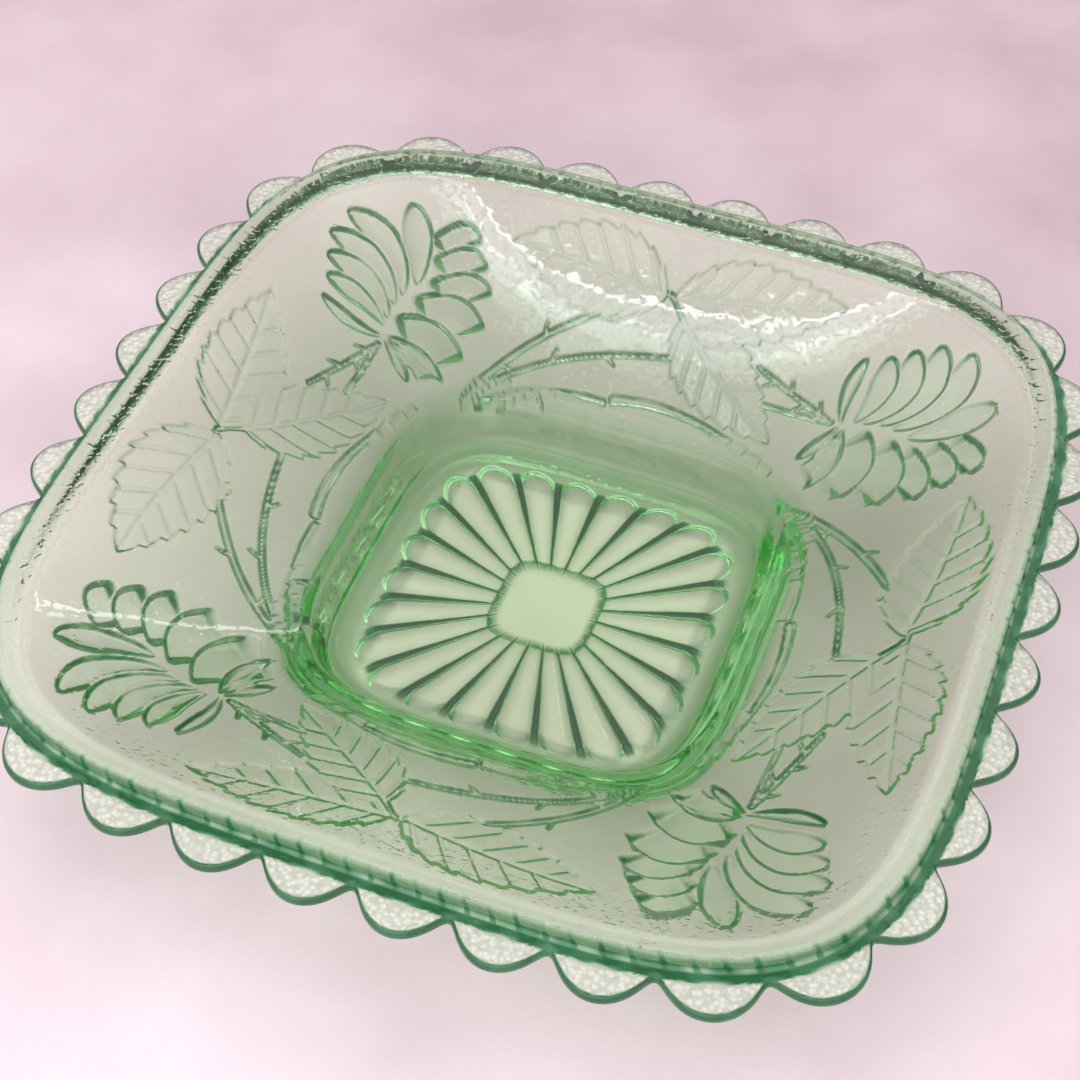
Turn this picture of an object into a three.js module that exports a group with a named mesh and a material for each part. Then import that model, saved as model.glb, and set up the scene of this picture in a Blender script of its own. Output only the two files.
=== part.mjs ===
// Square pressed-glass dish: a low footed bowl with a sunken floor, sloping walls,
// a narrow raised ridge round the rim and a flange of half-round scallops outside it.
// The base has a star of flutes pressed into its underside.
// It is one pressing of glass. Millimetres, +Z up; the origin is on the table, under the centre.
import * as THREE from 'three';
import { mergeVertices } from 'three/addons/utils/BufferGeometryUtils.js';

// Every level of the dish is the same rounded square, given by half its side.
const CORNER_POWER = 4.4; // 2 is a circle, and larger is squarer
const SEGMENTS = 216; // six for each scallop, nine for each flute
const FINE_STEPS = 2160; // steps used to space a rounded square evenly

const HEIGHT = 43; // table to the top of the ridge
const RIDGE_HALF = 95;

// The foot is a flat band, with the base inside it lifted clear of the table.
const FOOT = { inner: 40.3, outer: 45.4, lift: 0.8, neck: 48.4, neckLevel: 10.5 };
const STAR = { flutes: 24, panelHalf: 12.4, half: 37, depth: 2 };

// The floor sits in a well, and the wall starts at the well's edge.
const FLOOR = { half: 39.6, level: 7 };
const WELL = { half: 45, level: 15.4, round: 1.6 };
const WALL = { slope: 0.42, bend: 0.0025, thickness: 4, steps: 3 };

const RIDGE = { round: 1.7, height: 3.6 };
const FLANGE = { scallops: 36, thickness: 3, bevel: 0.9, notch: 4.4, tip: 10.8 };

// A point of the rounded square of half side 1, in the direction of an angle.
function squarePoint(angle) {
  const across = Math.abs(Math.cos(angle)) ** CORNER_POWER;
  const along = Math.abs(Math.sin(angle)) ** CORNER_POWER;
  const radius = (across + along) ** (-1 / CORNER_POWER);
  return new THREE.Vector2(Math.cos(angle) * radius, Math.sin(angle) * radius);
}

// That square in evenly spaced points, starting at the middle of a side.
function evenSquare(count) {
  const ring = new THREE.Path();
  const points = [];
  for (let i = 0; i <= FINE_STEPS; i += 1) points.push(squarePoint((2 * Math.PI * i) / FINE_STEPS));
  ring.setFromPoints(points);
  return ring.getSpacedPoints(count);
}

// The direction that faces straight out of the rounded square at a point of it.
function outward(point) {
  const power = CORNER_POWER - 1;
  const x = Math.sign(point.x) * Math.abs(point.x) ** power;
  const y = Math.sign(point.y) * Math.abs(point.y) ** power;
  return new THREE.Vector2(x, y).normalize();
}

// Height of the wall's inner face above the table, at a half side.
function wallLevel(half) {
  const run = half - WELL.half;
  return WELL.level + run * (WALL.slope + run * WALL.bend);
}

// Half sides at equal steps from one to another.
function stepsBetween(start, end, count) {
  return Array.from({ length: count + 1 }, (_, i) => THREE.MathUtils.lerp(start, end, i / count));
}

// Section of the underside, from the centre out to the flange's edge.
function undersideSection(flangeBottom, flangeEdge) {
  const starEnd = 0.1 * (STAR.half - STAR.panelHalf); // how soon a flute reaches its full depth
  const starRings = [STAR.panelHalf, STAR.panelHalf + starEnd, STAR.half - starEnd, STAR.half];
  const shoulder = FOOT.neck + WALL.thickness;
  const wallEnd = RIDGE_HALF - WALL.thickness;
  const wallHalves = stepsBetween(shoulder, wallEnd, WALL.steps - 1);
  return [
    [0, FOOT.lift],
    ...starRings.map((half) => [half, FOOT.lift]),
    [FOOT.inner - FOOT.lift, FOOT.lift],
    [FOOT.inner, 0],
    [FOOT.outer, 0],
    [FOOT.neck, FOOT.neckLevel],
    ...wallHalves.map((half) => [half, wallLevel(half) - WALL.thickness]),
    [flangeEdge - FLANGE.bevel, flangeBottom],
    [flangeEdge, flangeBottom + FLANGE.bevel],
  ];
}

// Section of the top, from the flange's edge over the ridge to the centre of the floor.
function topSection(flangeTop, flangeEdge) {
  const crest = HEIGHT - RIDGE.round;
  const ridge = [0, 45, 90, 135].map((degrees) => {
    const angle = THREE.MathUtils.degToRad(degrees);
    return [RIDGE_HALF + RIDGE.round * Math.cos(angle), crest + RIDGE.round * Math.sin(angle)];
  });
  const wallTop = RIDGE_HALF - RIDGE.round;
  const wallFoot = WELL.half + WELL.round;
  return [
    [flangeEdge, flangeTop - FLANGE.bevel],
    [flangeEdge - FLANGE.bevel, flangeTop],
    [RIDGE_HALF + 1.5 * RIDGE.round, flangeTop],
    ...ridge,
    ...stepsBetween(wallTop, wallFoot, WALL.steps).map((half) => [half, wallLevel(half)]),
    [WELL.half - WELL.round, WELL.level - 2 * WELL.round],
    [FLOOR.half + WELL.round, FLOOR.level + WELL.round],
    [FLOOR.half, FLOOR.level],
    [0, FLOOR.level],
  ];
}

// 0 at the joins between repeats and 1 halfway between them, round like a half disc.
function halfDisc(turn, repeats) {
  const phase = (turn * repeats) % 1;
  return Math.sqrt(Math.max(0, 1 - (2 * phase - 1) ** 2));
}

// How deep the star is pressed in at a half side: nothing at its two ends.
function fluteDepth(half, turn) {
  const inside = half > STAR.panelHalf + 0.1 && half < STAR.half - 0.1;
  return inside ? STAR.depth * halfDisc(turn, STAR.flutes) : 0;
}

// Turn a round lathed body into the rounded square, with its scallops and flutes.
function shapeDish(geometry, flangeRoot, flangeEdge) {
  const ring = evenSquare(SEGMENTS);
  const position = geometry.getAttribute('position');
  for (let i = 0; i < position.count; i += 1) {
    const half = Math.hypot(position.getX(i), position.getY(i));
    const angle = Math.atan2(position.getY(i), position.getX(i));
    const step = (Math.round((angle / (2 * Math.PI)) * SEGMENTS) + SEGMENTS) % SEGMENTS;
    const turn = step / SEGMENTS;
    const beyond = Math.max(0, half - RIDGE_HALF);
    const scallop = Math.max(0, (half - flangeRoot) / (flangeEdge - flangeRoot));
    const reach = beyond + scallop * (FLANGE.tip - FLANGE.notch) * halfDisc(turn, FLANGE.scallops);
    const place = ring[step].clone().multiplyScalar(half - beyond);
    place.addScaledVector(outward(ring[step]), reach);
    const underside = position.getZ(i) < FLOOR.level / 2;
    const lift = underside ? fluteDepth(half, turn) : 0;
    position.setXYZ(i, place.x, place.y, position.getZ(i) + lift);
  }
}

function dishGeometry() {
  const flangeTop = HEIGHT - RIDGE.height;
  const flangeEdge = RIDGE_HALF + FLANGE.notch;
  const flangeRoot = RIDGE_HALF + 1.5 * RIDGE.round;
  const outline = [
    ...undersideSection(flangeTop - FLANGE.thickness, flangeEdge),
    ...topSection(flangeTop, flangeEdge),
  ];
  const profile = outline.map(([half, level]) => new THREE.Vector2(half, level));
  const lathed = new THREE.LatheGeometry(profile, SEGMENTS);
  lathed.rotateX(Math.PI / 2);
  lathed.deleteAttribute('normal');
  lathed.deleteAttribute('uv');
  shapeDish(lathed, flangeRoot, flangeEdge);
  return mergeVertices(lathed, 1e-4);
}

const glass = new THREE.MeshStandardMaterial({ color: 0xb5dca0, roughness: 0.08, metalness: 0 });
glass.name = 'green_glass';

const dish = new THREE.Mesh(dishGeometry(), glass);
dish.name = 'dish';

const part = new THREE.Group();
part.add(dish);

export default part;
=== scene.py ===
"""Uranium glass dish: a square pressed-glass bowl with rose sprays, a fluted base and a scalloped rim."""
import math

import bpy
import numpy as np
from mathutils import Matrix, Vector


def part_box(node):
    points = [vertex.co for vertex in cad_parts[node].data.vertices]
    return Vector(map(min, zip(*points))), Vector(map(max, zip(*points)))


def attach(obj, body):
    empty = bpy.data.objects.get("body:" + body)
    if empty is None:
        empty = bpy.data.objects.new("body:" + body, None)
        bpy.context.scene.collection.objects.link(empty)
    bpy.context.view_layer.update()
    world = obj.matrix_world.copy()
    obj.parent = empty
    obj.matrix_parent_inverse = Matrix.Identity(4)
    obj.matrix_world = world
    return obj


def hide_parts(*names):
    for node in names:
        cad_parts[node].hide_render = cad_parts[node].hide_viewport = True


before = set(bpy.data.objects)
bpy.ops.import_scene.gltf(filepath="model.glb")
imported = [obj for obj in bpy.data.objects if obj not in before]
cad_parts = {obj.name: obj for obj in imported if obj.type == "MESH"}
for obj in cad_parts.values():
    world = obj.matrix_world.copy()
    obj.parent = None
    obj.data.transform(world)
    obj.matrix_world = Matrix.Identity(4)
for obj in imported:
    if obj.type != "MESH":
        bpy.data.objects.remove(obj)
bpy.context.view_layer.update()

# ---------------------------------------------------------------- sizes, in millimetres
MM = 0.001
_, DISH_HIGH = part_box("dish")
TIP_HALF = DISH_HIGH[0] / MM
HEIGHT = DISH_HIGH[2] / MM

CORNER_POWER = 4.4  # 2 is a circle, and larger is squarer
RIDGE_HALF = TIP_HALF - 10.8
RIDGE_ROUND = 1.7
FLANGE_TOP = HEIGHT - 3.6
FLANGE_BOTTOM = FLANGE_TOP - 2.4
FLANGE_EDGE = RIDGE_HALF + 4.4  # at a notch between two scallops
FLANGE_ROOT = RIDGE_HALF + 2.6
EDGE_ROUND = 1.0  # how far the corners of the flange's edge are rounded
DOME_HEIGHT = 0.35  # rise of each scallop's top
NOTCH_ROUND = 0.08  # how much the notches between scallops are rounded
SCALLOP_POWER = 0.12
SCALLOPS = 36
SCALLOP_REACH = TIP_HALF - FLANGE_EDGE

WALL_THICKNESS = 4.0
WALL_SLOPE = 0.42
WALL_BEND = 0.0025
WELL_HALF = 45.0
WELL_LEVEL = 15.4
FLOOR_HALF = 39.0
FLOOR_LEVEL = 7.0

FOOT_INNER = 40.3
FOOT_OUTER = 45.4
FOOT_LIFT = 0.8  # the base's middle is this far above the table
FOOT_SLOPE = 2.8  # width of the gentle slope from the base down to the foot
STAR_PANEL = 11.2
STAR_HALF = 37.0
FLUTES = 24
FLUTE_SHARE = 0.16  # depth of a flute as a share of its width

LEAF_TEETH = 9
LEAF_VEINS = 5  # on each side of the midrib
PETAL_WIDEST = 0.6  # how far along a petal it is widest, as a share of its length

# Columns of the mesh round the dish: under the base, on the decorated outside, and on the top.
BASE_COLUMNS = 960
OUTER_COLUMNS = 1440
TOP_COLUMNS = 360


# ---------------------------------------------------------------- plan: a rounded square
def even_square(count):
    """Points evenly spaced round a rounded square of half side 1, and the way out at each."""
    angle = np.linspace(0, 2 * np.pi, 40 * 360 + 1)
    across, along = np.abs(np.cos(angle)), np.abs(np.sin(angle))
    radius = (across**CORNER_POWER + along**CORNER_POWER) ** (-1 / CORNER_POWER)
    fine = np.stack([radius * np.cos(angle), radius * np.sin(angle)], axis=1)
    travelled = np.concatenate([[0], np.cumsum(np.linalg.norm(np.diff(fine, axis=0), axis=1))])
    wanted = np.arange(count) / count * travelled[-1]
    points = np.stack([np.interp(wanted, travelled, fine[:, axis]) for axis in (0, 1)], axis=1)
    out = np.sign(points) * np.abs(points) ** (CORNER_POWER - 1)
    return points, out / np.linalg.norm(out, axis=1, keepdims=True)


# ---------------------------------------------------------------- section of the dish
def steps(start, end, count):
    """Points from start to end in equal steps, without start itself."""
    share = np.linspace(0, 1, count + 1)[1:, None]
    return np.asarray(start) * (1 - share) + np.asarray(end) * share


def curve(start, pull, end, count):
    """Points of a curve that leaves start and reaches end heading along the pull point."""
    share = np.linspace(0, 1, count + 1)[1:, None]
    start, pull, end = map(np.asarray, (start, pull, end))
    return start * (1 - share) ** 2 + 2 * pull * share * (1 - share) + end * share**2


def wall_level(half):
    """Height of the wall's inner face at a half side."""
    run = half - WELL_HALF
    return WELL_LEVEL + run * (WALL_SLOPE + run * WALL_BEND)


def base_section():
    """Under the base: the middle panel, the star and the step down to the foot's flat band."""
    rows = [steps((0, FOOT_LIFT), (STAR_PANEL, FOOT_LIFT), 6)]
    for end, count in ((STAR_PANEL + 1, 5), (STAR_HALF - 6.5, 18), (STAR_HALF + 0.2, 20)):
        rows.append(steps(rows[-1][-1], (end, FOOT_LIFT), count))
    rows.append(steps(rows[-1][-1], (FOOT_INNER - FOOT_SLOPE, FOOT_LIFT), 1))
    rows.append(steps(rows[-1][-1], (FOOT_INNER + 0.6, 0), 7))
    return np.concatenate(rows)


def outside_section():
    """From the foot's flat band up the outside of the wall and round the flange's edge."""
    neck = (FOOT_OUTER + 2.6, 9.0)
    shoulder = neck[0] + 4.6
    wall_end = WELL_HALF + wall_run(FLANGE_BOTTOM + WALL_THICKNESS - 0.6)
    rows = [steps((FOOT_INNER + 0.6, 0), (FOOT_OUTER - 1, 0), 3)]
    rows.append(curve(rows[-1][-1], (FOOT_OUTER, 0), (FOOT_OUTER + 0.2, 1), 5))
    rows.append(steps(rows[-1][-1], neck, 5))
    rows.append(curve(neck, (neck[0] + 0.9, 12.6), (shoulder, wall_level(shoulder) - WALL_THICKNESS), 7))
    halves = np.linspace(shoulder, wall_end, 96)[1:]
    rows.append(np.stack([halves, wall_level(halves) - WALL_THICKNESS], axis=1))
    rows.append(curve(rows[-1][-1], (wall_end + 1, FLANGE_BOTTOM), (wall_end + 3, FLANGE_BOTTOM), 4))
    edge = FLANGE_EDGE
    rows.append(steps(rows[-1][-1], (edge - EDGE_ROUND, FLANGE_BOTTOM), 6))
    rows.append(curve(rows[-1][-1], (edge, FLANGE_BOTTOM), (edge, FLANGE_BOTTOM + EDGE_ROUND), 4))
    rows.append(steps(rows[-1][-1], (edge, FLANGE_TOP - EDGE_ROUND), 2))
    rows.append(curve(rows[-1][-1], (edge, FLANGE_TOP), (edge - EDGE_ROUND, FLANGE_TOP), 4))
    rows.append(steps(rows[-1][-1], (FLANGE_ROOT, FLANGE_TOP), 8))
    return np.concatenate(rows)


def wall_run(level):
    """How far beyond the well's edge the wall's inner face reaches a height."""
    rise = level - WELL_LEVEL
    return (-WALL_SLOPE + math.sqrt(WALL_SLOPE**2 + 4 * WALL_BEND * rise)) / (2 * WALL_BEND)


def top_section():
    """Over the ridge, down the inner wall and the well, and in to the floor's centre."""
    wall_top = RIDGE_HALF - 3.6
    outer = RIDGE_HALF + RIDGE_ROUND
    rows = [curve((FLANGE_ROOT, FLANGE_TOP), (outer, FLANGE_TOP), (outer, FLANGE_TOP + 0.9), 4)]
    rows.append(steps(rows[-1][-1], (outer, HEIGHT - 1.1), 2))
    rows.append(curve(rows[-1][-1], (outer, HEIGHT), (outer - 1.2, HEIGHT), 6))
    rows.append(curve(rows[-1][-1], (RIDGE_HALF - 0.9, HEIGHT), (RIDGE_HALF - 1.8, HEIGHT - 1), 5))
    rows.append(curve(rows[-1][-1], (RIDGE_HALF - 2.5, HEIGHT - 1.8), (wall_top, wall_level(wall_top)), 5))
    halves = np.linspace(wall_top, WELL_HALF + 1.4, 28)[1:]
    rows.append(np.stack([halves, wall_level(halves)], axis=1))
    rows.append(curve(rows[-1][-1], (WELL_HALF, WELL_LEVEL), (WELL_HALF - 0.6, WELL_LEVEL - 1.5), 9))
    low = (FLOOR_HALF + 2.8, FLOOR_LEVEL + 2.4)
    rows.append(steps(rows[-1][-1], low, 4))
    rows.append(curve(low, (FLOOR_HALF + 1.9, FLOOR_LEVEL), (FLOOR_HALF - 1, FLOOR_LEVEL), 9))
    rows.append(steps(rows[-1][-1], (2, FLOOR_LEVEL), 8))
    return np.concatenate(rows)


# ---------------------------------------------------------------- relief on the outside, one quarter
# Places are seen from above, in millimetres from the dish's centre, for the side nearest the camera.
BLADE_HEIGHT = 0.52
VEIN_HEIGHT = 0.34
STEM_HEIGHT = 1.1
PETAL_HEIGHT = 3.0
LEAVES = (  # base, pull, tip, width
    ((-2, -79), (-20, -81), (-42, -85), 18),
    ((0, -78), (18, -82), (40, -81.5), 20),
    ((-5, -75), (-15, -66), (-34, -53), 18),
)
STEMS = (  # start, pull, end, half thickness at start and end, number of thorns
    ((38, -44), (30, -66), (0, -79), 0.9, 0.6, 3),
    ((38, -44), (26, -62), (-6, -66), 0.8, 0.5, 3),
    ((38, -43), (22, -54), (6, -53), 0.8, 0.6, 1),
    ((4, -54), (-14, -58), (-36, -47), 1.2, 0.4, 0),
    ((-46, -60.5), (-38, -64), (-26, -69), 0.7, 0.5, 4),
    ((-46, -60.5), (-36, -61), (-20, -62), 0.6, 0.5, 0),
    ((-1, -79), (-3, -78), (-5, -75), 0.7, 0.6, 0),
)
PETALS = (  # base, pull, tip, width, and the side whose lip stands up: 1 left, -1 right, 0 both
    ((-64, -58), (-73, -60), (-81, -66), 8, -1),
    ((-60, -60), (-73, -65), (-72, -79), 8, -1),
    ((-57, -61), (-67, -67), (-65, -80.5), 8, -1),
    ((-53, -61), (-62, -67), (-59.5, -79), 7.5, -1),
    ((-51, -61), (-56, -68), (-54.5, -77), 6.5, -1),
)
SHELLS = (  # start, pull and end of the lip, and how far inward the petal reaches
    ((-78, -46), (-88, -52), (-74, -60), 8),
    ((-73, -42.5), (-83, -49), (-70, -58), 8),
    ((-68, -39.5), (-77.5, -46), (-65, -57), 8),
    ((-60, -38), (-72, -47), (-60, -59), 9),
    ((-51.5, -40), (-64, -50), (-54, -61), 9),
    ((-46, -44), (-54, -51), (-49, -60), 6),
)
SEPALS = (  # base, pull, tip, width, lip
    ((-48, -60), (-46, -56), (-41, -51), 3.4, 0),
    ((-48.5, -60), (-46, -67), (-49.5, -76), 4.0, 0),
    ((-49, -60), (-50, -52), (-45.5, -44), 3.6, 0),
)


def smooth(value):
    """Ease from 0 to 1 as a value goes from 0 to 1, and hold beyond."""
    value = np.clip(value, 0, 1)
    return value * value * (3 - 2 * value)


def crest(distance, half_width):
    """A rounded ridge: 1 along its middle and 0 from half_width out."""
    return np.clip(1 - (distance / half_width) ** 2, 0, 1)


def bent_line(start, pull, end, count=20):
    """A curve as count + 1 points, start among them."""
    return np.concatenate([[start], curve(start, pull, end, count)])


def follow(points, line):
    """For each point, how far along the line it lies, from 0 to 1, and how far to the left of it."""
    spans = np.diff(line, axis=0)
    away = points[:, None] - line[:-1]
    share = np.clip((away * spans).sum(2) / (spans**2).sum(1), 0, 1)
    gap = away - share[..., None] * spans
    distance = np.linalg.norm(gap, axis=2)
    nearest = distance.argmin(axis=1)
    row = np.arange(len(points))
    cross = spans[nearest, 0] * away[row, nearest, 1] - spans[nearest, 1] * away[row, nearest, 0]
    return (nearest + share[row, nearest]) / len(spans), distance[row, nearest] * np.sign(cross)


def leaf(points, base, pull, tip, width):
    """A serrated rose leaf: a thin blade with a midrib and slanting veins."""
    line = bent_line(base, pull, tip)
    length = np.linalg.norm(np.diff(line, axis=0), axis=1).sum()
    share, side = follow(points, line)
    off = np.abs(side)
    tooth = (share * LEAF_TEETH) % 1 - 0.6
    ends = smooth(share * 8) * smooth((1 - share) * 8)
    edge = width / 2 * np.sin(np.pi * share**0.8) ** 0.8 + 1.3 * tooth * ends
    inside = smooth((edge - off) / 0.7)
    fullness = np.minimum(off / np.maximum(edge, 0.01), 1)
    veins = crest(off, 0.85 - 0.35 * share)
    for number in range(LEAF_VEINS):
        start = 0.05 + 0.165 * number + 0.04 * (side > 0)
        distance = (share - start - 0.9 * off / length) * length * 0.75
        fade = smooth((0.93 * edge - off) / 0.8)
        veins = np.maximum(veins, 0.85 * fade * crest(distance, 0.6))
    return inside, BLADE_HEIGHT * (0.75 + 0.25 * fullness) + VEIN_HEIGHT * veins


def petal(points, base, pull, tip, width, lip):
    """A cupped petal: low along one side and rising to a lip that drops off along the other."""
    share, side = follow(points, bent_line(base, pull, tip))
    widening = np.sqrt(np.clip(share / PETAL_WIDEST, 0, 1))
    rounding = np.sqrt(np.clip(1 - ((share - PETAL_WIDEST) / (1 - PETAL_WIDEST)) ** 2, 0, 1))
    edge = np.maximum(width / 2 * np.where(share < PETAL_WIDEST, widening, rounding), 0.01)
    inside = smooth((edge - np.abs(side)) / 1.0)
    across = np.clip(side / edge, -1, 1)
    slant = (1 + lip * across) / 2 if lip else 0.6
    raised = 0.06 + 0.3 * (1 - across**2) + 0.64 * slant**2.5
    return inside, PETAL_HEIGHT * raised * (0.45 + 0.55 * smooth(2 * share))


def shell(points, start, pull, end, depth):
    """A petal folded like a shell: its lip is an arc, and it sinks away on the inside of the arc."""
    share, inward = follow(points, bent_line(start, pull, end))
    ends = smooth(share * 7) * smooth((1 - share) * 7)
    sunk = np.clip(inward / depth, 0, 1)
    inside = smooth(inward / 0.9) * (inward < depth) * ends
    return inside, PETAL_HEIGHT * (0.2 + 0.8 * (1 - sunk) ** 1.4) * (0.4 + 0.6 * ends)


def stem(points, start, pull, end, thick, thin, thorns):
    """A round stem that thins along its length, with thorns on alternate sides."""
    line = bent_line(start, pull, end)
    share, side = follow(points, line)
    height = np.sqrt(crest(side, thick + (thin - thick) * share))
    for number in range(thorns):
        place = int((number + 1) / (thorns + 1) * (len(line) - 1))
        heading = line[place] - line[place - 1]
        heading = heading / np.linalg.norm(heading)
        sideways = np.array([-heading[1], heading[0]]) * (1 if number % 2 else -1)
        point = line[place] + 2.6 * sideways + 1.6 * heading
        thorn = bent_line(line[place], line[place] + sideways, point, 3)
        share, side = follow(points, thorn)
        height = np.maximum(height, 0.8 * crest(side, 0.9 - 0.7 * share))
    return height > 0, STEM_HEIGHT * height


SPRAY = ((stem, STEMS), (leaf, LEAVES), (petal, PETALS), (shell, SHELLS), (petal, SEPALS))


def spray(points):
    """The rose, its stems and its three leaves, as height above the plain glass."""
    height = np.zeros(len(points))
    for shape, pieces in SPRAY:
        for piece in pieces:
            centre = (np.array(piece[0]) + np.array(piece[2])) / 2
            reach = np.linalg.norm(np.array(piece[2]) - centre) + 14
            near = np.linalg.norm(points - centre, axis=1) < reach
            cover, raised = shape(points[near], *piece)
            height[near] = height[near] * (1 - cover) + raised * cover
    return height


def wall_relief(points):
    """Height of the relief at points of one quarter of the dish, from all four sprays."""
    height = np.zeros(len(points))
    for _ in range(4):
        height = np.maximum(height, spray(points))
        points = np.stack([-points[:, 1], points[:, 0]], axis=1)
    return height


def flute_depth(half, turn):
    """Depth of the star of hollows at half sides and turns, and the painted dark-green shade along their
    crests, round the middle panel and softly on their sides.
    """
    width = 8 * half / FLUTES
    off = np.abs(2 * ((turn * FLUTES) % 1) - 1)
    end = np.clip((half - (STAR_HALF - width / 2)) / (width / 2), 0, None)
    rim = off**2 + end**2
    hollow = 1 - np.clip(0.25 * rim + 0.75 * rim**4, 0, 1)
    begun = smooth((half - STAR_PANEL) / 0.7)
    outward = np.clip((half - STAR_PANEL) / (STAR_HALF - STAR_PANEL), 0, 1)
    # Painted shade: dark-green lines along the crests between the flutes, a line round the middle panel
    # and soft shade on the flutes' sides.
    line = smooth((off - 0.86 + 0.09 * outward) / 0.06) * smooth((STAR_HALF - 0.6 - half) / 2.5)
    border = 0.6 * crest(half - STAR_PANEL - 0.5 * off**2, 0.45)
    edge = np.maximum(np.maximum(1.1 * line, border), 0.2 * off**2 * (rim < 1))
    return FLUTE_SHARE * width * hollow * begun, edge * (half > STAR_PANEL - 0.4)


# ---------------------------------------------------------------- the dish's mesh
# Each block of rings carries marks that the glass reads, one number from 0 to 1 at every point:
# edge is how much painted dark-green shade the glass gets there, at steep steps, crests and outer
# edges, standing in for the shade that steep glass shows; frost, rope and rim are where it is pebbled,
# corded and pitted. The painted darker strokes of the ridge follow rope too.
MARKS = ("edge", "frost", "rope", "rim")

# How strong the painted dark-green shade of the edge mark is where the glass is seen edge-on.
NECK_SHADE = 0.13  # between the foot and the wall
NECK_END = 52.0  # the half side where that has faded out
EDGE_SHADE = 0.95  # the side of the flange and the outline of each scallop
ROOT_SHADE = 0.88  # the strip of flange along the ridge
RIDGE_SHADE = 0.34  # the ridge's outer face
FILLET_SHADE = 0.16  # added where that face runs into the flange


def rings(section, columns):
    """Points of the dish for a section, row by row, in millimetres."""
    plan, out = even_square(columns)
    turn = np.arange(columns) / columns
    wave = (np.sin(np.pi * turn * SCALLOPS) ** 2 + NOTCH_ROUND) ** SCALLOP_POWER
    scallop = (wave - wave.min()) / (wave.max() - wave.min())
    half, level = section[:, 0, None], section[:, 1, None]
    beyond = np.maximum(half - RIDGE_HALF, 0)
    spread = np.clip((half - FLANGE_ROOT) / (FLANGE_EDGE - EDGE_ROUND - FLANGE_ROOT), 0, 1)
    reach = beyond + spread * SCALLOP_REACH * scallop
    flat = plan * (half - beyond)[..., None] + out * reach[..., None]
    return np.concatenate([flat, np.broadcast_to(level, reach.shape)[..., None]], axis=2)


def no_marks(points):
    """Every mark at 0, for a block of rings."""
    return {name: np.zeros(points.shape[:2]) for name in MARKS}


def steep_shade(height, points):
    """How much painted shade a height gives each point of a block, from how steep it is: soft shade on
    gentle slopes and dark green at sharp steps.
    """
    along = np.linalg.norm(np.roll(points, -1, axis=1) - np.roll(points, 1, axis=1), axis=2)
    across = np.linalg.norm(np.gradient(points[..., :2], axis=0), axis=2)
    turned = (np.roll(height, -1, axis=1) - np.roll(height, 1, axis=1)) / np.maximum(along, 0.01)
    climbed = np.gradient(height, axis=0) / np.maximum(across, 0.01)
    slope = np.hypot(turned, climbed)
    return 0.5 * smooth((slope - 0.6) / 0.9) + 0.16 * smooth(slope / 0.7)


def base_rings():
    """The underside of the base, with its star of hollows."""
    section = base_section()
    points = rings(section, BASE_COLUMNS)
    turn = np.arange(BASE_COLUMNS) / BASE_COLUMNS
    marks = no_marks(points)
    height, marks["edge"] = flute_depth(section[:, 0, None], turn)
    points[..., 2] += height
    return points, marks


def relief_on_wall(points, section):
    """Raise the sprays on the rows of the wall's outside, and return the painted shade of their steep
    sides.
    """
    quarter = OUTER_COLUMNS // 4
    on_wall = (section[:, 1] > WELL_LEVEL - 6) & (section[:, 0] < RIDGE_HALF - 2.5)
    rows = np.flatnonzero(on_wall & (section[:, 1] < FLANGE_BOTTOM + 0.01))
    wall = points[rows[0]:rows[-1] + 1]
    flat = wall[:, :quarter, :2]
    height = np.tile(wall_relief(flat.reshape(-1, 2)).reshape(flat.shape[:2]), (1, 4))
    steep = np.zeros(points.shape[:2])
    steep[rows[0]:rows[-1] + 1] = steep_shade(height, wall)
    slope = np.gradient(section[:, 1]) / np.maximum(np.gradient(section[:, 0]), 1e-6)
    tilt = np.arctan(slope)[rows][:, None, None]
    _, out = even_square(OUTER_COLUMNS)
    wall[..., :2] += height[..., None] * np.sin(tilt) * out
    wall[..., 2:] -= height[..., None] * np.cos(tilt)
    return steep


def outside_rings():
    """The foot, the wall's outside with its sprays, and the scalloped flange."""
    section = outside_section()
    points = rings(section, OUTER_COLUMNS)
    marks = no_marks(points)
    half, level = section[:, 0, None], section[:, 1, None]
    # Painted dark-green shade on the relief's steep sides, and faintly round the neck.
    neck = smooth((half - FOOT_OUTER) / 1.2) * smooth((NECK_END - half) / 3) * smooth((level - 3) / 4)
    marks["edge"] = np.maximum(relief_on_wall(points, section), NECK_SHADE * neck)
    marks["rim"][:] = 0.4 * smooth((half - 80) / 8)
    top = np.flatnonzero(section[:, 1] == FLANGE_TOP)
    side = np.flatnonzero((section[:, 0] == FLANGE_EDGE) & (section[:, 1] > FLANGE_BOTTOM))
    # Painted dark-green shade down the flange's side, round each scallop's outline and along the strip of
    # flange by the ridge.
    marks["edge"][side[0] - 2:] = EDGE_SHADE
    plan = points[top, :, :2]
    to_edge = np.linalg.norm(plan - points[side[-1], :, :2], axis=2)
    to_root = np.linalg.norm(plan - points[top[-1], :, :2], axis=2)
    outline = 1 - smooth((to_edge - 0.2) / 0.3)
    root = 1 - smooth((to_root - 1.5) / 0.5)
    marks["frost"][top] = (1 - outline) * (1 - root)
    marks["edge"][top] = np.maximum(EDGE_SHADE * outline, ROOT_SHADE * root)
    points[top, :, 2] += DOME_HEIGHT * smooth(to_edge / 3) * smooth(to_root / 3)
    return points, marks


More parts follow.
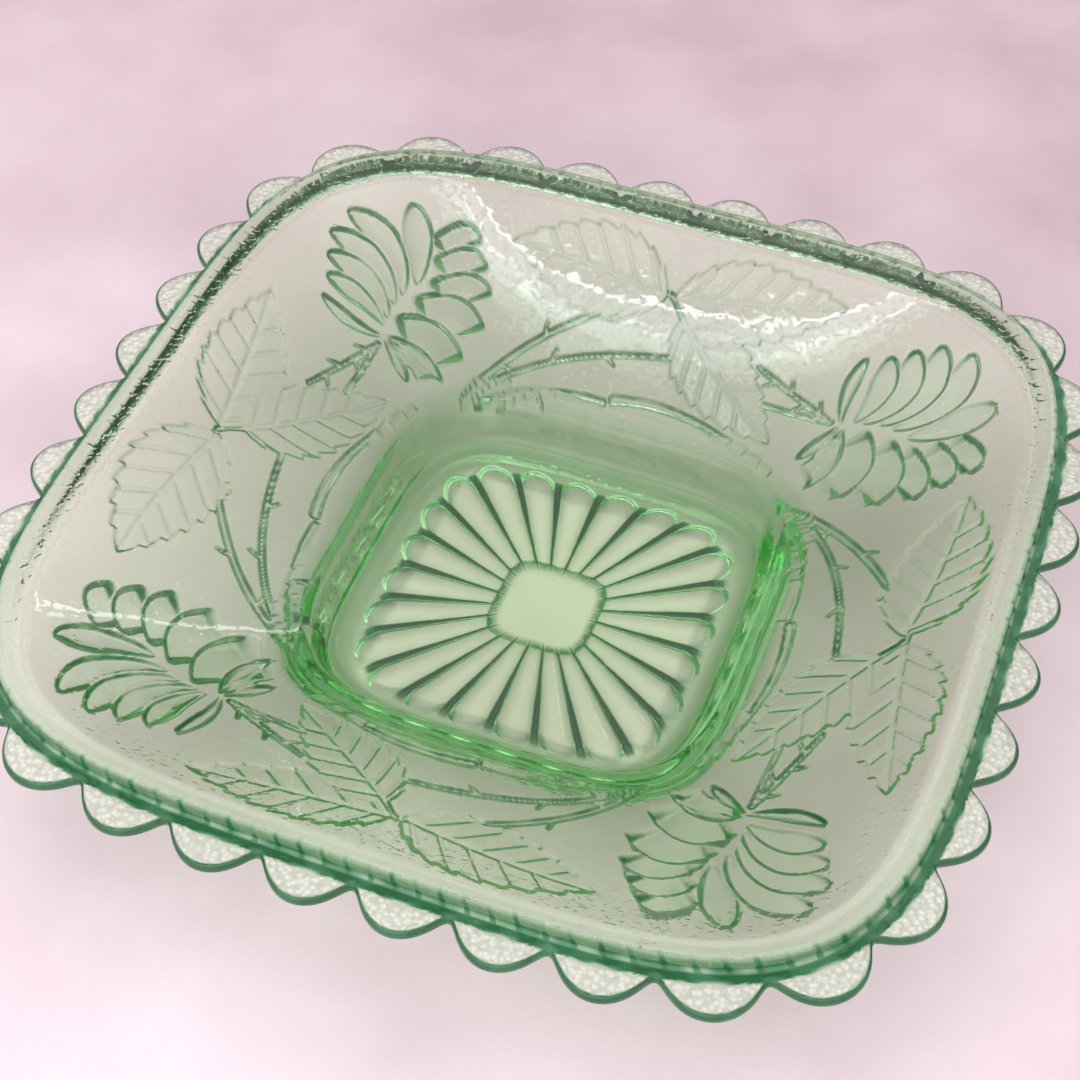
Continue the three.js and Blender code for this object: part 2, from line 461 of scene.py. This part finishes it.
def top_rings():
    """The ridge, the wall's plain inner face, the well and the floor."""
    section = top_section()
    points = rings(section, TOP_COLUMNS)
    marks = no_marks(points)
    half, level = section[:, 0, None], section[:, 1, None]
    # Painted dark-green shade on the ridge's outer face, stronger where it runs into the flange.
    beyond = smooth((half - RIDGE_HALF) / RIDGE_ROUND)
    fillet = level < FLANGE_TOP + 0.95
    marks["edge"][:] = beyond * (RIDGE_SHADE + FILLET_SHADE * fillet)
    marks["rope"][:] = smooth((half - RIDGE_HALF + 5) / 2)
    marks["rim"][:] = smooth((half - 78) / 10) * (1 - beyond)
    return points, marks


def strip_faces(first, rows, columns):
    """Four-sided faces between the rows of a block of rings."""
    row = first + columns * np.arange(rows - 1)[:, None]
    here = np.arange(columns)
    there = (here + 1) % columns
    faces = [row + here, row + there, row + columns + there, row + columns + here]
    return np.stack(faces, axis=2).reshape(-1, 4).tolist()


def join_faces(inner, inner_columns, outer, outer_columns):
    """Faces between two rings that have different numbers of points."""
    faces = []
    count = min(inner_columns, outer_columns)
    for step in range(count):
        low = np.arange(step * inner_columns // count, (step + 1) * inner_columns // count + 1)
        high = np.arange(step * outer_columns // count, (step + 1) * outer_columns // count + 1)
        ring = (inner + low % inner_columns).tolist() + (outer + high[::-1] % outer_columns).tolist()
        faces.append(ring)
    return faces


def cap_faces(centre, ring, columns, upward):
    """Triangles from a ring to a centre point."""
    pairs = [(ring + step, ring + (step + 1) % columns) for step in range(columns)]
    return [(here, there, centre) if upward else (centre, there, here) for here, there in pairs]


def build_dish():
    """Join the three blocks of rings into one closed mesh that carries the marks."""
    blocks, marks = zip(base_rings(), outside_rings(), top_rings())
    firsts, faces, total = [], [], 0
    for block in blocks:
        firsts.append(total)
        faces += strip_faces(total, *block.shape[:2])
        total += block.shape[0] * block.shape[1]
    for lower in (0, 1):
        columns, next_columns = blocks[lower].shape[1], blocks[lower + 1].shape[1]
        faces += join_faces(firsts[lower + 1] - columns, columns, firsts[lower + 1], next_columns)
    faces += cap_faces(total, 0, BASE_COLUMNS, upward=False)
    faces += cap_faces(total + 1, total - TOP_COLUMNS, TOP_COLUMNS, upward=True)
    centres = [[0, 0, FOOT_LIFT], [0, 0, FLOOR_LEVEL]]
    points = np.concatenate([block.reshape(-1, 3) for block in blocks] + [centres])
    mesh = bpy.data.meshes.new("pressed_dish")
    mesh.from_pydata((points * MM).tolist(), [], faces)
    mesh.shade_smooth()
    for name in MARKS:
        values = np.concatenate([block[name].ravel() for block in marks] + [[0, 0]])
        mesh.attributes.new(name, "FLOAT", "POINT").data.foreach_set("value", values)
    dish = bpy.data.objects.new("pressed_dish", mesh)
    bpy.context.collection.objects.link(dish)
    return dish


# ---------------------------------------------------------------- materials
CLEAR_GREEN = (1.0, 1.0, 0.93)
# Painted shade: the greens that the edge mark darkens the glass to, standing in for the shade that steep
# glass shows.
GREY_GREEN_SHADE = (0.5, 0.6, 0.45)
MIDDLE_GREEN_SHADE = (0.035, 0.2, 0.085)
DEEP_GREEN_SHADE = (0.008, 0.1, 0.03)
# Painted shade: the grey that the pits of the pebbled scallops are darkened towards.
PIT_SHADE_GREY = (0.3, 0.33, 0.28)
FLUORESCENCE_AND_PAINTED_GLOW = (0.45, 1.0, 0.3)
ABSORBED_TO = (0.25, 0.88, 0.28)  # the colour that thick glass turns light
ABSORPTION = 50
GLASS_IOR = 1.52
PEBBLE = 0.0013  # metres
CORDS = 504  # fine slanting cords raised round the ridge
# Painted shade: the darker strokes round the ridge are painted into the glass's colour.
SHADE_STROKES = 133  # darker strokes round the ridge
WAVE_HEIGHT = 0.065  # this and the next four are in millimetres
RIPPLE_HEIGHT = 0.005
PEBBLE_HEIGHT = 0.5
CORD_HEIGHT = 0.006
PIT_DEPTH = 0.08
TABLE_NEAR = (0.83, 0.67, 0.745)
TABLE_FAR_SHADE = (0.46, 0.33, 0.37)


class Graph:
    """Short names for building one material's nodes."""

    def __init__(self, name):
        self.material = bpy.data.materials.new(name)
        self.material.use_nodes = True
        self.nodes = self.material.node_tree.nodes
        self.shader = self.nodes["Principled BSDF"]

    def link(self, value, socket):
        """Join an output to an input, or set the input to a plain number."""
        if isinstance(value, bpy.types.NodeSocket):
            self.material.node_tree.links.new(value, socket)
        else:
            socket.default_value = value

    def mark(self, name):
        """One of the marks that the mesh carries."""
        node = self.nodes.new("ShaderNodeAttribute")
        node.attribute_name = name
        return node.outputs["Fac"]

    def math(self, operation, *values):
        """A sum or other operation on outputs or plain numbers."""
        node = self.nodes.new("ShaderNodeMath")
        node.operation = operation
        for value, socket in zip(values, node.inputs):
            self.link(value, socket)
        return node.outputs[0]

    def noise(self, scale, detail=2.0):
        """Cloudy noise from 0 to 1, with scale blotches to the metre."""
        node = self.nodes.new("ShaderNodeTexNoise")
        place = self.nodes.new("ShaderNodeTexCoord")
        self.link(place.outputs["Object"], node.inputs["Vector"])
        node.inputs["Scale"].default_value = scale
        node.inputs["Detail"].default_value = detail
        return node.outputs["Fac"]

    def pebbles(self, size):
        """Rounded cells about size metres across: 1 at their middles."""
        node = self.nodes.new("ShaderNodeTexVoronoi")
        place = self.nodes.new("ShaderNodeTexCoord")
        self.link(place.outputs["Object"], node.inputs["Vector"])
        node.feature = "F1"
        node.inputs["Scale"].default_value = 1 / size
        return self.math("SUBTRACT", 1.0, node.outputs["Distance"])

    def span(self, value, start, end, low, high):
        """A value stretched so that start becomes low and end becomes high."""
        node = self.nodes.new("ShaderNodeMapRange")
        for number, socket in zip((value, start, end, low, high), node.inputs):
            self.link(number, socket)
        return node.outputs["Result"]

    def colours(self, value, stops):
        """A value from 0 to 1 turned into a colour, by stops of place and colour."""
        node = self.nodes.new("ShaderNodeValToRGB")
        ramp = node.color_ramp.elements
        while len(ramp) < len(stops):
            ramp.new(1.0)
        for element, (position, colour) in zip(ramp, stops):
            element.position = position
            element.color = (*colour, 1)
        self.link(value, node.inputs["Fac"])
        return node.outputs["Color"]

    def blend(self, share, colour, other):
        """The colour, with a share of another mixed in."""
        node = self.nodes.new("ShaderNodeMix")
        node.data_type = "RGBA"
        self.link(share, node.inputs[0])
        self.link(colour, node.inputs[6])
        node.inputs[7].default_value = (*other, 1)
        return node.outputs[2]

    def cords(self, count, slant):
        """Slanting strokes, count of them round the dish."""
        place = self.nodes.new("ShaderNodeTexCoord")
        parts = self.nodes.new("ShaderNodeSeparateXYZ")
        self.link(place.outputs["Object"], parts.inputs["Vector"])
        angle = self.math("ARCTAN2", parts.outputs["Y"], parts.outputs["X"])
        wave = self.math("MULTIPLY", angle, float(count))
        lean = self.math("MULTIPLY", parts.outputs["Z"], slant)
        return self.math("SINE", self.math("ADD", wave, lean))

    def bump(self, height, distance):
        """Tilt the surface by a height, where 1 is distance metres."""
        node = self.nodes.new("ShaderNodeBump")
        node.inputs["Distance"].default_value = distance
        self.link(height, node.inputs["Height"])
        self.link(node.outputs["Normal"], self.shader.inputs["Normal"])


def glass_height(graph):
    """The glass's fine relief in millimetres: waviness, pebbled scallops, a corded ridge and pits."""
    waves = graph.math("MULTIPLY", graph.noise(70, 1.0), WAVE_HEIGHT)
    ripples = graph.math("MULTIPLY", graph.noise(450, 0.0), RIPPLE_HEIGHT)
    pebbled = graph.math("MULTIPLY", graph.pebbles(PEBBLE), graph.mark("frost"))
    pebbled = graph.math("MULTIPLY", pebbled, PEBBLE_HEIGHT)
    patchy = graph.span(graph.noise(160, 0.0), 0.4, 0.6, 0.1, 1.0)
    corded = graph.math("MULTIPLY", graph.cords(CORDS, 1600.0), graph.mark("rope"))
    corded = graph.math("MULTIPLY", graph.math("MULTIPLY", corded, patchy), CORD_HEIGHT)
    pits = graph.span(graph.noise(800, 0.0), 0.62, 0.8, 0.0, -PIT_DEPTH)
    pitted = graph.math("MULTIPLY", pits, graph.math("ADD", graph.mark("rim"), 0.2))
    total = waves
    for part in (ripples, pebbled, corded, pitted):
        total = graph.math("ADD", total, part)
    return total


def glass_material():
    """Pale green glass with frosted scallops, and painted bottle-green shade at its steep steps and edges.
    """
    graph = Graph("uranium_glass")
    shader = graph.shader
    frost = graph.mark("frost")
    # Painted shade: the edge mark, made uneven by noise and with painted darker strokes round the ridge,
    # darkens the glass through the greens.
    uneven = graph.span(graph.noise(220, 0.0), 0.35, 0.6, 0.72, 1.0)
    edge = graph.math("MULTIPLY", graph.mark("edge"), uneven)
    stroke = graph.span(graph.cords(SHADE_STROKES, 300.0), 0.6, 0.95, 0.0, 0.6)
    strokes = graph.math("MULTIPLY", stroke, graph.mark("rope"))
    edge = graph.math("MULTIPLY_ADD", edge, strokes, edge)
    stops = ((0.0, CLEAR_GREEN), (0.25, GREY_GREEN_SHADE), (0.5, MIDDLE_GREEN_SHADE), (0.8, DEEP_GREEN_SHADE))
    tint = graph.colours(edge, stops)
    # Painted shade: the pits between the scallops' pebbles are darkened towards grey.
    pits = graph.span(graph.pebbles(PEBBLE), 0.35, 0.75, 0.45, 0.0)
    pitted = graph.blend(graph.math("MULTIPLY", pits, frost), tint, PIT_SHADE_GREY)
    graph.link(pitted, shader.inputs["Base Color"])
    clear = graph.span(edge, 0.0, 0.75, 1.0, 0.08)
    cloud = graph.math("MULTIPLY", frost, 0.3)
    graph.link(graph.math("SUBTRACT", clear, cloud), shader.inputs["Transmission Weight"])
    smear = graph.span(graph.noise(120, 0.0), 0.3, 0.7, 0.008, 0.03)
    dull = graph.math("ADD", graph.math("MULTIPLY", frost, 0.22), graph.math("MULTIPLY", edge, 0.08))
    graph.link(graph.math("ADD", smear, dull), shader.inputs["Roughness"])
    graph.bump(glass_height(graph), MM)
    shader.inputs["IOR"].default_value = GLASS_IOR
    # A faint green glow over all the glass: partly the glow that uranium glass really gives off, partly
    # painted light that brightens the glass.
    shader.inputs["Emission Color"].default_value = (*FLUORESCENCE_AND_PAINTED_GLOW, 1)
    shader.inputs["Emission Strength"].default_value = 0.004
    inside = graph.nodes.new("ShaderNodeVolumeAbsorption")
    inside.inputs["Color"].default_value = (*ABSORBED_TO, 1)
    inside.inputs["Density"].default_value = ABSORPTION
    graph.link(inside.outputs["Volume"], graph.nodes["Material Output"].inputs["Volume"])
    return graph.material


def table_material():
    """A pale pink painted top with an eggshell sheen, and painted shade on it: darker towards its far side
    and mottled with soft shadows.
    """
    graph = Graph("pale_table")
    place = graph.nodes.new("ShaderNodeTexCoord")
    parts = graph.nodes.new("ShaderNodeSeparateXYZ")
    graph.link(place.outputs["Object"], parts.inputs["Vector"])
    # Painted shade: the top darkens towards the far side and is mottled with soft shadows.
    far = graph.span(parts.outputs["Y"], -0.15, 0.22, 0.1, 0.9)
    shadow_mottle = graph.span(graph.noise(18, 3.0), 0.3, 0.7, -0.17, 0.17)
    stops = ((0.0, TABLE_NEAR), (1.0, TABLE_FAR_SHADE))
    graph.link(graph.colours(graph.math("ADD", far, shadow_mottle), stops), graph.shader.inputs["Base Color"])
    graph.link(graph.span(graph.noise(60), 0.3, 0.7, 0.5, 0.65), graph.shader.inputs["Roughness"])
    graph.bump(graph.noise(900), 0.00005)
    return graph.material


# ---------------------------------------------------------------- table, light and camera
TABLE_GAP = 0.0001  # keeps the foot's face and the table's from flickering
CAMERA_LENS = 70.5
CAMERA_AZIMUTH = 20.5  # degrees
CAMERA_ELEVATION = 49.6
CAMERA_ROLL = 0.66
CAMERA_DISTANCE = 0.433
CAMERA_TARGET = (0.00225, -0.0109, FLANGE_TOP * MM)
ROOM_DIM = (0.12, 0.12, 0.13)
ROOM_BRIGHT = (1.0, 1.0, 1.0)
ROOM_STRENGTH = 1.62
LAMPS = (  # name, size, place, power, colour, tilt
    ("panel", (0.4, 0.05), (-0.21, -0.14, 1.03), 0.2, (0.8, 0.93, 1), 0),
    ("strip", (0.36, 0.006), (-0.21, -0.16, 1.02), 0.06, (0.9, 0.97, 1), 0),
    ("back", (0.6, 0.02), (0.1, 0.9, 0.8), 0.25, (0.9, 0.97, 1), -50),
    ("front", (1.0, 0.8), (-0.1, -0.9, 0.7), 1.9, (1, 1, 1), 45),
    # Stands in for the green light that uranium glass gives off in daylight.
    ("glow_under_base", (0.064, 0.064), (0, 0, 0.5 * FOOT_LIFT * MM), 0.0043, (0.93, 1, 0.76), 0),
)


def build_table():
    """A flat table top that the dish's foot stands on."""
    bpy.ops.mesh.primitive_plane_add(size=4)
    table = bpy.context.object
    table.name = "table"
    table.location.z = -TABLE_GAP
    table.data.materials.append(table_material())


def aim_at(holder, target):
    """Turn the camera so that it looks at a point."""
    holder.rotation_euler = (Vector(target) - holder.location).to_track_quat("-Z", "Y").to_euler()


def add_light(name, size, place, power, colour, tilt):
    """A lamp that the camera doesn't see. It faces down, turned by tilt degrees about X."""
    lamp = bpy.data.lights.new(name, "AREA")
    lamp.shape = "RECTANGLE"
    lamp.size, lamp.size_y = size
    lamp.energy = power
    lamp.color = colour
    holder = bpy.data.objects.new(name, lamp)
    holder.location = place
    holder.rotation_euler.x = math.radians(tilt)
    holder.visible_camera = False
    bpy.context.collection.objects.link(holder)


def build_world():
    """Soft room light: bright overhead and in front, and dim behind the dish."""
    world = bpy.data.worlds.new("room")
    bpy.context.scene.world = world
    world.use_nodes = True
    nodes, links = world.node_tree.nodes, world.node_tree.links
    coordinates = nodes.new("ShaderNodeTexCoord")
    parts = nodes.new("ShaderNodeSeparateXYZ")
    lean = nodes.new("ShaderNodeMath")
    lean.operation = "MULTIPLY_ADD"
    lean.inputs[1].default_value = -0.4
    ramp = nodes.new("ShaderNodeValToRGB")
    ramp.color_ramp.elements[0].position = 0.0
    ramp.color_ramp.elements[0].color = (*ROOM_DIM, 1)
    ramp.color_ramp.elements[1].position = 0.75
    ramp.color_ramp.elements[1].color = (*ROOM_BRIGHT, 1)
    links.new(coordinates.outputs["Generated"], parts.inputs["Vector"])
    links.new(parts.outputs["Y"], lean.inputs[0])
    links.new(parts.outputs["Z"], lean.inputs[2])
    links.new(lean.outputs[0], ramp.inputs["Fac"])
    background = nodes["Background"]
    background.inputs["Strength"].default_value = ROOM_STRENGTH
    links.new(ramp.outputs["Color"], background.inputs["Color"])


def build_camera():
    """The photograph's view: from above the near side, a little to the right."""
    camera = bpy.data.cameras.new("camera")
    camera.sensor_width = 36
    camera.lens = CAMERA_LENS
    holder = bpy.data.objects.new("camera", camera)
    azimuth, elevation = math.radians(CAMERA_AZIMUTH), math.radians(CAMERA_ELEVATION)
    target = Vector(CAMERA_TARGET)
    away = Vector((math.sin(azimuth), -math.cos(azimuth), math.tan(elevation))).normalized()
    holder.location = target + CAMERA_DISTANCE * away
    aim_at(holder, target)
    holder.rotation_euler.rotate_axis("Z", math.radians(CAMERA_ROLL))
    bpy.context.collection.objects.link(holder)
    bpy.context.scene.camera = holder


def set_render():
    """Enough bounces for light to pass through the glass and back."""
    scene = bpy.context.scene
    scene.view_settings.view_transform = "Standard"
    cycles = scene.cycles
    cycles.max_bounces = 20
    cycles.transmission_bounces = 20
    cycles.glossy_bounces = 12
    cycles.diffuse_bounces = 4
    cycles.sample_clamp_indirect = 8
    cycles.blur_glossy = 0.5
    cycles.use_denoising = True


dish = build_dish()
dish.data.materials.append(glass_material())
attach(dish, "root")
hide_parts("dish")

build_table()
build_world()
for lamp in LAMPS:
    add_light(*lamp)
build_camera()
set_render()
